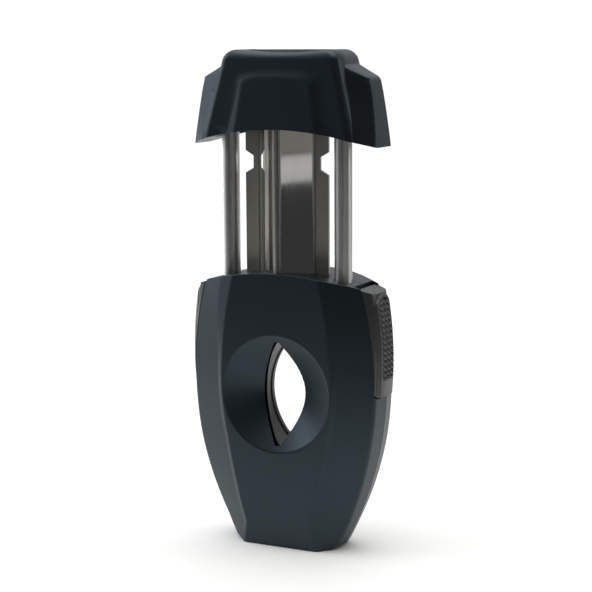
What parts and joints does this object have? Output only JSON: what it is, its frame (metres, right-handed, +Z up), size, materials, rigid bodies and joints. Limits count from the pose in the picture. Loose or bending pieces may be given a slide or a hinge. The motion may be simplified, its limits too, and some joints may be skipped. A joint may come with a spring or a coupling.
{
  "type": "v-cut cigar cutter",
  "caption": "Pocket plunger cutter: a faceted body with a conical cup, guide rods and a folded V blade under a wide press-down cap, released by side buttons.",
  "frame": {"origin": "middle of the flat base, under the body's middle plane", "axes": "+Z up along the plunger's stroke, -Y out of the cup's mouth, +X to the right seen from the front"},
  "size_m": [0.0484, 0.0178, 0.1134],
  "materials": {
    "shell": "satin black coating",
    "button": "dark gunmetal",
    "blade": "polished and satin stainless",
    "steel": "satin stainless",
    "guide": "sintered steel",
    "bearing": "turned"
  },
  "bodies": {
    "body": {"front_shell": "shell", "rear_shell": "shell", "blade_guide": "guide", "latch_tray": "guide", "bushing_left": "bearing", "bushing_right": "bearing", "guide_pin_left": "steel", "guide_pin_right": "steel", "pivot_pin_left": "steel", "pivot_pin_right": "steel", "torsion_spring_left": "steel", "torsion_spring_right": "steel", "housing_screws": "steel", "locating_pins": "steel", "return_spring_left": "steel", "return_spring_right": "steel"},
    "plunger": {"cap": "shell", "cap_insert": "guide", "cap_screws": "steel", "v_blade": "blade", "blade_pins": "steel", "rod_left": "steel", "rod_right": "steel", "stop_collar_left": "steel", "stop_collar_right": "steel"},
    "left_button": {"button_left": "button", "grip_pad_left": "button"},
    "right_button": {"button_right": "button", "grip_pad_right": "button"},
    "left_latch": {"latch_left": "steel"},
    "right_latch": {"latch_right": "steel"}
  },
  "joints": [
    {"name": "plunger_slide", "type": "slide", "parent": "body", "child": "plunger", "axis": [0, 0, 1], "range_m": [-0.032, 0], "stiffness_N_per_m": 60, "springref_m": 0.03, "deforming": ["return_spring_left", "return_spring_right"]},
    {"name": "left_button_press", "type": "hinge", "parent": "body", "child": "left_button", "pos_m": [-0.0202, 0, 0.0386], "axis": [0, 1, 0], "range_deg": [-2.8, 2.2], "stiffness_Nm_per_rad": 0.6},
    {"name": "right_button_press", "type": "hinge", "parent": "body", "child": "right_button", "pos_m": [0.0202, 0, 0.0386], "axis": [0, -1, 0], "range_deg": [-2.8, 2.2], "stiffness_Nm_per_rad": 0.6},
    {"name": "left_latch_slide", "type": "slide", "parent": "body", "child": "left_latch", "axis": [1, 0, 0], "range_m": [-0.0009, 0.0007]},
    {"name": "right_latch_slide", "type": "slide", "parent": "body", "child": "right_latch", "axis": [-1, 0, 0], "range_m": [-0.0009, 0.0007]}
  ],
  "couplings": [
    {"joint": "left_latch_slide", "follows": "left_button_press", "m_per_rad": 0.0176},
    {"joint": "right_latch_slide", "follows": "right_button_press", "m_per_rad": 0.0176}
  ]
}
